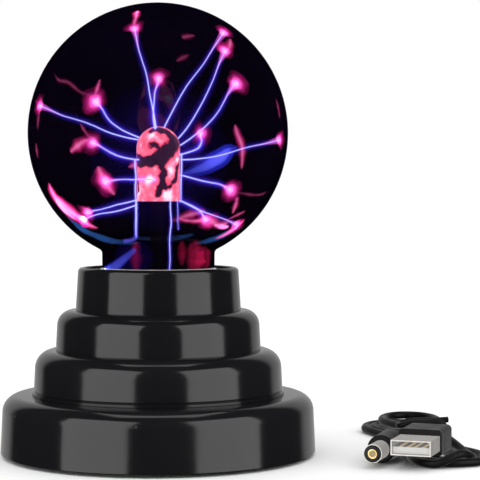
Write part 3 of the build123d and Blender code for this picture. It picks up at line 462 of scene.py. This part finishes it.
def blob(shape, middle, radius, thick, seed):
    """Adds a lumpy lens of light that lies against the glass."""
    inward = middle.normalized()
    side = inward.orthogonal().normalized()
    made = bmesh.ops.create_icosphere(shape, subdivisions=3, radius=1.0)["verts"]
    for vertex in made:
        lump = 1 + 0.5 * noise.noise(vertex.co * 1.3 + Vector((seed, 0, 7)))
        local = vertex.co * lump
        place = (side * local.x + inward.cross(side) * local.y) * radius + inward * local.z * thick
        vertex.co = (CENTRE + middle + place) * MM


def glowing(name, colour, strength, skin=0.0):
    """Light from the gas itself, and in some pieces a painted reflection in the glass: an even glow through
    the depth, and a faint, patchy one on the surface.
    """
    material, tree, output = shader_of(name)
    clear = put(tree, "ShaderNodeBsdfTransparent")
    face = put(tree, "ShaderNodeEmission", [("Color", rgba(colour)), ("Strength", 1 / CLEAR)])
    share = carried(tree, mottle(tree, surface_places(tree), 400.0), 0.4 * skin, 1.6 * skin)
    surface = put(tree, "ShaderNodeMixShader", [(0, share), (1, clear.outputs[0]), (2, face.outputs[0])])
    glow = put(tree, "ShaderNodeEmission", [("Color", rgba(colour)), ("Strength", strength / MM / CLEAR)])
    tree.links.new((surface if skin else clear).outputs[0], output.inputs["Surface"])
    tree.links.new(glow.outputs[0], output.inputs["Volume"])
    return material


def hot_line():
    """The streamers' cores: lavender white by the electrode, pinker towards the glass."""
    material, tree, output = shader_of("streamer_core_light")
    heat = put(tree, "ShaderNodeAttribute", attribute_name="heat").outputs["Fac"]
    colour = ramp(tree, heat, [(0.0, (0.5, 0.55, 1.0)), (0.5, (0.3, 0.28, 1.0)), (0.78, (0.6, 0.2, 0.9)),
                               (1.0, (1.0, 0.5, 0.95))])
    shader = put(tree, "ShaderNodeBsdfPrincipled", [
        ("Base Color", (0, 0, 0, 1)), ("Roughness", 1.0), ("Specular IOR Level", 0.0),
        ("Emission Color", colour), ("Emission Strength", 1.1 / CLEAR)])
    tree.links.new(shader.outputs[0], output.inputs["Surface"])
    return material


def light_piece(name, shape, material, mirrored=False):
    """Makes a piece of the discharge or of a painted reflection in the glass, which rides on the base and
    lights nothing by chance.
    """
    mesh = bpy.data.meshes.new(name)
    bmesh.ops.recalc_face_normals(shape, faces=shape.faces)
    shape.to_mesh(mesh)
    shape.free()
    for face in mesh.polygons:
        face.use_smooth = True
    material.cycles.emission_sampling = "NONE"
    mesh.materials.append(material)
    piece = bpy.data.objects.new(name, mesh)
    scene.collection.objects.link(piece)
    piece.visible_diffuse = False
    piece.visible_shadow = False
    piece.visible_glossy = mirrored
    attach(piece, "base")


# Each streamer: azimuth and height where it leaves the electrode, the rise it leaves with, azimuth and
# elevation where it meets the glass, and the size of the spot there.
STREAMERS = [
    (-12, 1.6, 60, -16, 54, 1.9), (-14, 1.2, 26, 3, 23, 2.0), (140, 1.6, 62, 98, 57, 2.0),
    (95, -1.6, 47, 128, 46, 2.3), (96, -3.7, 28, 134, 27, 2.7), (80, -6.7, 12, 22, -2, 2.0),
    (90, -8.2, 0, 90, -3, 1.9), (88, -13.0, -14, 43, -28, 2.4), (80, -21.0, -19, 35, -45, 2.2),
    (92, -21.0, -24, 100, -49, 2.0), (-80, -2.0, 10, -88, 13, 1.9), (-94, -1.3, 20, -142, 18, 2.8),
    (-58, -8.3, 0, -28, -6, 2.1), (-5, -14.5, -5, -24, -24, 2.5), (-104, -20.7, -15, -124, -41, 2.2),
    (-88, -22.4, -20, -56, -45, 1.6),
]
# Light that creeps over the glass: two headings, half width and strength.
CREEPS = [
    ((-16, 57), (-70, 80), 1.4, "bright"), ((-138, 20), (-98, 29), 1.0, "faint"),
    ((-142, 20), (-142, 30), 1.3, "bright"), ((-30, -6), (-41, -10), 2.2, "bright"),
    ((-29, -5), (-33, 3), 0.9, "dim"), ((-27, -17), (-21, -33), 2.9, "bright"),
    ((41, 2), (46, -17), 2.0, "bright"), ((45, -28), (86, -28), 0.8, "faint"),
    ((48, -31), (54, -40), 1.3, "bright"), ((127, 46), (104, 52), 1.7, "dim"),
    ((-92, -23), (-66, -44), 2.6, "bright"), ((-82, -31), (-46, -52), 4.0, "bright"),
    ((-72, -27), (-56, -42), 1.8, "dim"), ((92, -44), (66, -61), 1.8, "bright"),
    ((60, -48), (24, -46), 2.6, "dim"), ((-88, -3), (-84, -13), 1.5, "faint"),
    ((92, 8), (86, 17), 1.2, "faint"), ((-95, 2), (-92, 19), 1.3, "faint"),
    ((160, 57), (146, 58), 1.8, "faint"), ((12, 30), (20, 36), 1.2, "faint"),
    ((-172, -6), (-163, -15), 2.0, "bright"), ((34, -47), (14, -43), 1.3, "bright"),
    ((66, -38), (52, -45), 1.1, "dim"), ((150, -40), (176, -47), 2.4, "dim"),
]
# Cold light caught in the thick glass above the neck, a painted reflection of the white studio made as
# glowing bands: two headings and half width.
PAINTED_GLASS_REFLECTIONS = [((-84, -42), (-14, -61), 2.4), ((84, -48), (40, -62), 2.2), ((150, -56), (-150, -58), 1.8)]
# Red streaks on the inside of the neck, a painted reflection in the neck's glass: azimuth, top, foot and half
# width.
PAINTED_NECK_REFLECTIONS = [(50, -33.0, -44.5, 2.8), (70, -35.0, -43.0, 2.0), (30, -33.0, -41.0, 1.6),
                (42, -34.0, -44.5, 1.4), (-150, -34.0, -44.0, 2.2)]
NECK_SHARES = (1.0, 0.7, 0.4)       # each streak is three nested ones
# Light that runs down the outside of the electrode and its stem: azimuth, top, foot and radius.
LEFT_RUN = -90
STEM_RUNS = [(LEFT_RUN, -8, -32, 0.21), (-70, -21, -32.5, 0.11), (89, -6.5, -21.5, 0.22),
             (34, -21, -44, 0.16), (60, -21, -30, 0.06), (-170, -21, -40, 0.14)]


def stem_run(azimuth, top, foot, steps=28):
    """A line down the electrode's side that drifts a little."""
    line = []
    for k in range(steps + 1):
        height = top + (foot - top) * k / steps
        drift = noise.noise_vector(Vector((azimuth, 0, height * 0.13)))
        line.append(on_head(azimuth + drift.x * 7, height, 0.35 + abs(drift.y) * 0.5))
    return line


def ragged(width, number):
    """A half width that is uneven and tapers away from the start."""
    return lambda t: width * (0.04 + 0.96 * math.sin(math.pi * t ** 0.8) ** 0.7) * (
        1 + 0.45 * noise.noise(Vector((t * 6, number * 3.1, 0))))


# The evenly glowing pieces: name, material, colour, strength per millimetre and share of glow on the faces.
GLOWS = [
    ("streamer_glow", "streamer_glow_blue", (0.16, 0.12, 1.0), 0.3, 0.0),
    ("streamer_halo", "streamer_halo_blue", (0.07, 0.03, 0.8), 0.06, 0.0),
    ("streamer_haze", "streamer_haze_navy", (0.05, 0.02, 0.7), 0.014, 0.0),
    ("navy_dusk", "navy_dusk_light", (0.05, 0.02, 0.7), 0.0005, 0.0),
    ("navy_haze", "navy_haze_light", (0.05, 0.02, 0.7), 0.0009, 0.0),
    ("neck_haze", "neck_haze_light", (0.05, 0.02, 0.7), 0.003, 0.0),
    ("streamer_flares", "streamer_flare_pink", (1.0, 0.14, 0.75), 0.2, 0.05),
    ("spot_mists", "spot_mist_red", (0.6, 0.015, 0.2), 0.06, 0.02),
    ("spot_auras", "spot_aura_magenta", (0.85, 0.04, 0.36), 0.1, 0.03),
    ("spots", "spot_pink", (1.0, 0.1, 0.55), 0.2, 0.06),
    ("spot_hearts", "spot_heart_light", (1.0, 0.45, 0.95), 0.42, 0.1),
    ("blue_sheets", "blue_sheet_light", (0.03, 0.04, 0.8), 0.045, 0.03),
    ("blue_hearts", "blue_heart_light", (0.14, 0.15, 1.0), 0.09, 0.03),
]
# The nested lenses of each spot: piece, share of the way to the glass, width and thickness as shares of the
# spot's size, and what is added to the streamer's number to shape it.
SPOT_LENSES = [("spot_mists", 1.0, 1.6, 0.5, 0), ("spot_auras", 0.99, 1.2, 0.5, 0),
               ("spots", 0.985, 0.86, 0.42, 0), ("spot_hearts", 0.98, 0.48, 0.34, 40)]
FLARE_START = 0.6       # how far along a streamer its end begins to flare

cores, stem_cores = bmesh.new(), bmesh.new()
glows = {name: bmesh.new() for name, *_ in GLOWS}
for number, (azimuth, height, rise, foot_azimuth, foot_elevation, size) in enumerate(STREAMERS):
    foot = heading(foot_azimuth, foot_elevation) * (INNER_RADIUS - SPOT_DEPTH)
    line = arc(on_head(azimuth, height), heading((azimuth + foot_azimuth) / 2, rise), foot)
    sweep(cores, line, lambda t: 0.2 - 0.08 * min(1, 1.6 * t), sides=8)
    sweep(glows["streamer_glow"], line, lambda t: 0.55 - 0.1 * t)
    sweep(glows["streamer_halo"], line, lambda t: 1.25 - 0.3 * t)
    sweep(glows["streamer_haze"], line, lambda t: 2.4 - 1.2 * t)
    tip = line[int(len(line) * FLARE_START):]
    sweep(glows["streamer_flares"], tip, lambda t: 0.2 + (size * 0.85 - 0.2) * t ** 2.2)
    for name, reach, width, thick, seed in SPOT_LENSES:
        blob(glows[name], foot * reach, size * width, size * thick, number + seed)
for azimuth, top, foot, radius in STEM_RUNS:
    down = stem_run(azimuth, top, foot)
    sweep(stem_cores, down, lambda t: radius * (1 - 0.6 * t * t), heat=lambda t: 0.1 + 0.5 * t, sides=8)
    if azimuth == LEFT_RUN:    # it sheds a faint tail that curls away from the stem
        down += [down[-1] + Vector((-0.05 * k ** 1.75, -0.04 * k, -1.8 * (1 - math.exp(-k / 5))))
                 for k in range(1, 13)]
    sweep(glows["streamer_glow"], down, lambda t: 0.4 + radius)
    sweep(glows["streamer_halo"], down, lambda t: 0.9)

# A broad blue sheet of light on the right, and another in the neck on the left.
wide = arc(on_head(90, -12.7), heading(70, 10), heading(41, -8) * (INNER_RADIUS - 1.5))
slant = [Vector((-6.8, -6.0, -36.0)).lerp(Vector((-15.2, -6.8, -43.2)), k / 16) for k in range(17)]
sweep(glows["blue_sheets"], wide, lambda t: 0.3 + 2.7 * math.sin(math.pi * t ** 0.85) ** 0.9, sides=20)
sweep(glows["blue_hearts"], wide, lambda t: 0.2 + 1.5 * math.sin(math.pi * min(t * 1.15, 1)), sides=20)
sweep(glows["blue_sheets"], slant, lambda t: 0.9 + 1.3 * t, sides=20)
sweep(glows["blue_hearts"], slant, lambda t: 0.6 + 1.1 * t, sides=20)

# Navy haze round the electrode, and in the neck's left half.
column = [Vector((0, 0, -30 + 46 * k / 12)) for k in range(13)]
neck_pool = [Vector((-7.5, -3.0, -34 - 9.5 * k / 8)) for k in range(9)]
sweep(glows["navy_dusk"], column, lambda t: 5 + 17 * math.sin(math.pi * t) ** 0.7, sides=40)
sweep(glows["navy_haze"], column, lambda t: 3 + 10 * math.sin(math.pi * t) ** 0.7, sides=40)
sweep(glows["neck_haze"], neck_pool, lambda t: 4.2 + 2.0 * math.sin(math.pi * t), sides=32)

# Two bright pools where streamers meet the glass low down: two headings and half width.
POOLS = [((-84, -32), (-66, -45), 1.3), ((64, -50), (44, -48), 0.9)]
for first, last, width in POOLS:
    sweep(glows["spots"], over_glass(first, last, 1.3), ragged(width * 1.5, 61), **AGAINST_GLASS)
    sweep(glows["spot_hearts"], over_glass(first, last, 1.3), ragged(width, 62), **AGAINST_GLASS)

light_piece("streamer_cores", cores, hot_line())
light_piece("stem_cores", stem_cores, hot_line())
for name, material_name, colour, strength, skin in GLOWS:
    light_piece(name, glows[name], glowing(material_name, colour, strength, skin))


# Each creep is four nested layers. Neighbours go in different pieces, so that two that cross both show.
LAYERS = [("wide", 1.0, (0.6, 0.015, 0.16)), ("warm", 0.76, (0.9, 0.04, 0.26)),
          ("bright", 0.52, (1.0, 0.14, 0.5)), ("hot", 0.28, (1.0, 0.42, 0.8))]
CREEP_STRENGTH = {"bright": 0.085, "dim": 0.045, "faint": 0.02}
CREEP_FACES = 0.35      # how much of a creep's strength is on its faces
CREEP_SETS = 3
creeps = {(layer, level, k): bmesh.new()
          for layer, _, _ in LAYERS for level in CREEP_STRENGTH for k in range(CREEP_SETS)}
for number, (first, last, width, level) in enumerate(CREEPS):
    line = over_glass(first, last, 0.7 + width * 0.3)
    bent = [(place + noise.noise_vector(place * 0.11) * (1 + width * 0.5)).normalized() * place.length
            for place in line]
    for layer, share, _ in LAYERS:
        sweep(creeps[layer, level, number % CREEP_SETS], bent, ragged(width * share, number), **AGAINST_GLASS)
for layer, share, colour in LAYERS:
    for level, strength in CREEP_STRENGTH.items():
        light = glowing(f"glass_creep_{layer}_{level}", colour, strength / share, strength * CREEP_FACES)
        for k in range(CREEP_SETS):
            if creeps[layer, level, k].verts:
                light_piece(f"glass_creep_{layer}_{level}_{k}", creeps[layer, level, k], light)

cold, reds = bmesh.new(), [bmesh.new() for _ in NECK_SHARES]
for number, (first, last, width) in enumerate(PAINTED_GLASS_REFLECTIONS):
    sweep(cold, over_glass(first, last, 0.9), ragged(width, number + 30), flat=0.3, sides=16)
for number, (azimuth, top, foot, width) in enumerate(PAINTED_NECK_REFLECTIONS):
    side = heading(azimuth, 0) * (NECK_BORE - 0.8)
    for red, share in zip(reds, NECK_SHARES):
        sweep(red, [side + Vector((0, 0, top + (foot - top) * k / 12)) for k in range(13)],
              ragged(width * share, number + 50), sides=12)
# These bands glow as a painted reflection of the white studio in the thick glass.
light_piece("painted_glass_reflections", cold, glowing("painted_glass_reflection_light", (0.025, 0.1, 0.36), 0.13, 0.03))
# The neck's red streaks glow as a painted reflection in its glass.
for red, share in zip(reds, NECK_SHARES):
    light_piece(f"neck_painted_reflections_{share:.1f}", red,
                glowing(f"neck_painted_reflection_light_{share:.1f}", (0.7, 0.015, 0.1), 0.014, 0.01))


def dome_shell(inner, outer):
    """A closed thin shell over the electrode's head: a sleeve with a round top."""
    shape = bmesh.new()
    sides, wall_steps, dome_steps = 132, 40, 22
    foot = HEAD_LOW - 0.7
    stacks = []
    for radius in (outer, inner):
        profile = [(radius, foot + (DOME - foot) * k / wall_steps) for k in range(wall_steps)]
        profile += [(radius * math.cos(a), DOME + radius * math.sin(a))
                    for a in (math.pi / 2 * k / dome_steps for k in range(dome_steps))]
        rings = [[shape.verts.new(Vector((out * math.sin(turn), -out * math.cos(turn), up)) * MM)
                  for turn in (2 * math.pi * k / sides for k in range(sides))] for out, up in profile]
        for one, two in zip(rings, rings[1:]):
            for k in range(sides):
                shape.faces.new((one[k], one[(k + 1) % sides], two[(k + 1) % sides], two[k]))
        shape.faces.new(rings[-1])
        stacks.append(rings)
    rim, inner_rim = stacks[0][0], stacks[1][0]
    for k in range(sides):
        shape.faces.new((rim[k], inner_rim[k], inner_rim[(k + 1) % sides], rim[(k + 1) % sides]))
    return shape


# The dark veins on the electrode's lit head: half width, then azimuths and heights along each.
HEAD_VEINS = [
    (1.2, [(-80, -7.6), (-45, -9.0), (-12, -8.6), (12, -7.2)]), (1.7, [(8, -7.8), (34, -5.0), (62, -2.6)]),
    (1.0, [(58, -2.6), (36, 0.2), (6, 1.2), (-26, 0.9)]),
    (0.75, [(6, -8.5), (16, -12.0), (14, -16.0), (2, -18.6)]), (0.45, [(-24, -4.0), (-10, -3.6), (4, -4.4)]),
    (0.4, [(14, -16.6), (34, -17.0), (56, -14.2), (70, -9.0)]), (0.5, [(-66, -17.8), (-78, -13.0)]),
    (1.2, [(96, -4.0), (120, -8.0), (150, -9.0), (178, -6.0)]),
    (0.8, [(150, -9.0), (160, -14.0), (140, -19.0)]),
    (1.0, [(-176, -6.0), (-150, -3.0), (-118, -5.0), (-96, -8.0)]), (0.7, [(-150, -3.0), (-140, 0.5)]),
    (0.8, [(-120, -6.0), (-128, -13.0), (-150, -19.0)]), (0.7, [(100, -14.0), (122, -17.0)]),
    (0.9, [(120, 0.6), (170, 0.9), (-150, 0.7)]),
]
VEIN_STEPS = 8      # points between two corners of a vein
# The brightest places on the head: azimuth, height and size.
HEAD_HEATS = [(-18, -1.0, 1.3), (-22, -14.5, 1.5), (38, -11.6, 1.5), (66, -8.2, 1.0), (28, -19.4, 1.8),
              (-64, -18.5, 1.6), (150, -12.0, 1.5), (-150, -9.0, 1.5), (110, -1.0, 1.2), (-100, -16.0, 1.3)]
MOST_LIT = 1.5


def paint_head(shape):
    """Writes how brightly each place on the head is lit, from 0 in a vein to MOST_LIT in a hot spot."""
    layer = shape.verts.layers.float.new("lit")
    veins = []
    for width, corners in HEAD_VEINS:
        for (azimuth, height), (next_azimuth, next_height) in zip(corners, corners[1:]):
            turn = (next_azimuth - azimuth + 180) % 360 - 180
            climb = next_height - height
            veins += [(width, on_head(azimuth + turn * k / VEIN_STEPS, height + climb * k / VEIN_STEPS, 0.0))
                      for k in range(VEIN_STEPS + 1)]
    heats = [(on_head(azimuth, height, 0.0), size) for azimuth, height, size in HEAD_HEATS]
    for vertex in shape.verts:
        place = vertex.co / MM - CENTRE
        shaken = place + noise.noise_vector(place * 0.45) * 0.9 + noise.noise_vector(place * 1.3) * 0.35
        lit = 1.0 + 0.25 * noise.noise(place * 0.6)
        for width, middle in veins:
            lit = min(lit, max(0.0, ((shaken - middle).length - width) / (width * 0.5 + 0.4)))
        for middle, size in heats:
            lit += 0.6 * math.exp(-((place - middle).length / size) ** 2) * min(1.0, lit + 0.3)
        vertex[layer] = lit


def head_light():
    """Lit gas that hugs the electrode's tube: salmon patches, white-hot spots and nearly black veins."""
    material, tree, output = shader_of("head_gas_light")
    lit = put(tree, "ShaderNodeAttribute", attribute_name="lit").outputs["Fac"]
    fine = carried(tree, mottle(tree, surface_places(tree), 600.0), -0.12, 0.12)
    level = maths(tree, "MULTIPLY", maths(tree, "ADD", lit, fine), 1 / MOST_LIT)
    colour = ramp(tree, level, [
        (0.0, (0.002, 0.0, 0.002)), (0.2, (0.03, 0.001, 0.01)), (0.45, (0.8, 0.05, 0.12)),
        (0.7, (1.0, 0.16, 0.28)), (0.85, (1.0, 0.4, 0.62)), (1.0, (1.0, 0.85, 1.0))])
    shader = put(tree, "ShaderNodeBsdfPrincipled", [
        ("Base Color", (0, 0, 0, 1)), ("Roughness", 1.0), ("Specular IOR Level", 0.0),
        ("Alpha", carried(tree, level, 0.8, 1.0, 0.0, 0.3)),
        ("Emission Color", colour), ("Emission Strength", 1.05 / CLEAR)])
    tree.links.new(shader.outputs[0], output.inputs["Surface"])
    return material


lit_gas = dome_shell(TUBE_RADIUS + 0.05, TUBE_RADIUS + 0.08)
paint_head(lit_gas)
light_piece("head_gas", lit_gas, head_light(), mirrored=True)
light_piece("head_sheath", dome_shell(TUBE_RADIUS + 0.11, TUBE_RADIUS + 0.18),
            glowing("head_sheath_light", (1.0, 0.4, 0.8), 0.32), mirrored=True)


# ---------------------------------------------------------------- floor, lights and world
def through_glass(tree):
    """1 for light that has come through glass, where a dark room shows instead of the studio."""
    path = put(tree, "ShaderNodeLightPath")
    return maths(tree, "GREATER_THAN", path.outputs["Transparent Depth"], 0.5)


def make_floor():
    """A wide pale floor, faintly uneven."""
    shape = bmesh.new()
    bmesh.ops.create_grid(shape, x_segments=24, y_segments=24, size=4.0)
    mesh = bpy.data.meshes.new("floor")
    shape.to_mesh(mesh)
    shape.free()
    material, tree, output = shader_of("floor_white")
    where = surface_places(tree)
    paper = put(tree, "ShaderNodeBsdfPrincipled", [
        ("Base Color", mixed(tree, mottle(tree, where, 9.0), (0.86, 0.86, 0.86, 1), (0.9, 0.9, 0.9, 1))),
        ("Roughness", 0.9), ("Specular IOR Level", 0.1),
        ("Normal", bumped(tree, mottle(tree, where, 400.0), 0.0001))])
    # Seen through glass the floor is painted black: painted shade of a dark room in place of the lit paper.
    dark = put(tree, "ShaderNodeEmission", [("Color", (0, 0, 0, 1))])
    seen = put(tree, "ShaderNodeMixShader", [
        (0, through_glass(tree)), (1, paper.outputs[0]), (2, dark.outputs[0])])
    tree.links.new(seen.outputs[0], output.inputs["Surface"])
    mesh.materials.append(material)
    floor = bpy.data.objects.new("floor", mesh)
    floor.location.z = -0.0001
    floor.visible_glossy = False
    scene.collection.objects.link(floor)


MATT_LEVEL = 1.2                        # how bright the studio is for matt surfaces
GLOSS_DARK, GLOSS_BRIGHT = 0.02, 0.5    # and in gloss, from most sides and from straight behind


def make_world():
    """A white studio for the eye, bright for matt surfaces, and mostly dark in gloss."""
    world = bpy.data.worlds.new("studio")
    scene.world = world
    world.use_nodes = True
    tree = world.node_tree
    tree.nodes.clear()
    path = put(tree, "ShaderNodeLightPath")
    facing = put(tree, "ShaderNodeTexCoord").outputs["Generated"]
    depth = put(tree, "ShaderNodeSeparateXYZ", [(0, facing)]).outputs["Y"]
    gloss = carried(tree, depth, GLOSS_DARK, GLOSS_BRIGHT, 0.6, 0.72)
    clear = maths(tree, "SUBTRACT", 1.0, through_glass(tree))
    matt_or_gloss = put(tree, "ShaderNodeMix", [
        (0, path.outputs["Is Glossy Ray"]), (2, MATT_LEVEL), (3, gloss)])
    level = put(tree, "ShaderNodeMix", [
        (0, path.outputs["Is Camera Ray"]), (2, matt_or_gloss.outputs[0]), (3, 1.0)])
    light = put(tree, "ShaderNodeBackground", [
        ("Color", (1, 1, 1, 1)), ("Strength", maths(tree, "MULTIPLY", level.outputs[0], clear))])
    output = tree.nodes.new("ShaderNodeOutputWorld")
    tree.links.new(light.outputs[0], output.inputs["Surface"])


def softbox(name, place, aim, size, power):
    """Sets up a rectangular softbox that the eye can't see and that leaves the globe's glass alone."""
    data = bpy.data.lights.new(name, "AREA")
    data.shape = "RECTANGLE"
    data.size, data.size_y = size
    data.energy = power
    light = bpy.data.objects.new(name, data)
    light.location = place
    light.rotation_euler = (Vector(aim) - Vector(place)).to_track_quat("-Z", "Y").to_euler()
    light.visible_camera = False
    scene.collection.objects.link(light)
    light.light_linking.receiver_collection = spared


spared = bpy.data.collections.new("spared_by_softboxes")
for glass_node in ("glass_globe", "electrode_tube"):
    spared.objects.link(nodes[glass_node])
for member in spared.collection_objects:
    member.light_linking.link_state = "EXCLUDE"

make_floor()
make_world()
SOFTBOX_REACH, SOFTBOX_SIZE, SOFTBOX_POWER = 1.2, (1.2, 1.5), 11.8
for name, angle in (("softbox_left", -44), ("softbox_right", 54)):
    turn = math.radians(angle)
    softbox(name, (SOFTBOX_REACH * math.sin(turn), -SOFTBOX_REACH * math.cos(turn), 0.3), (0, 0, 0.05),
            SOFTBOX_SIZE, SOFTBOX_POWER)
softbox("softbox_top", (0, 0.15, 1.3), (0, 0, 0), (0.9, 0.9), 4.0)

scene.view_settings.view_transform = "Standard"
scene.cycles.transparent_max_bounces = 64
scene.cycles.min_transparent_bounces = 24
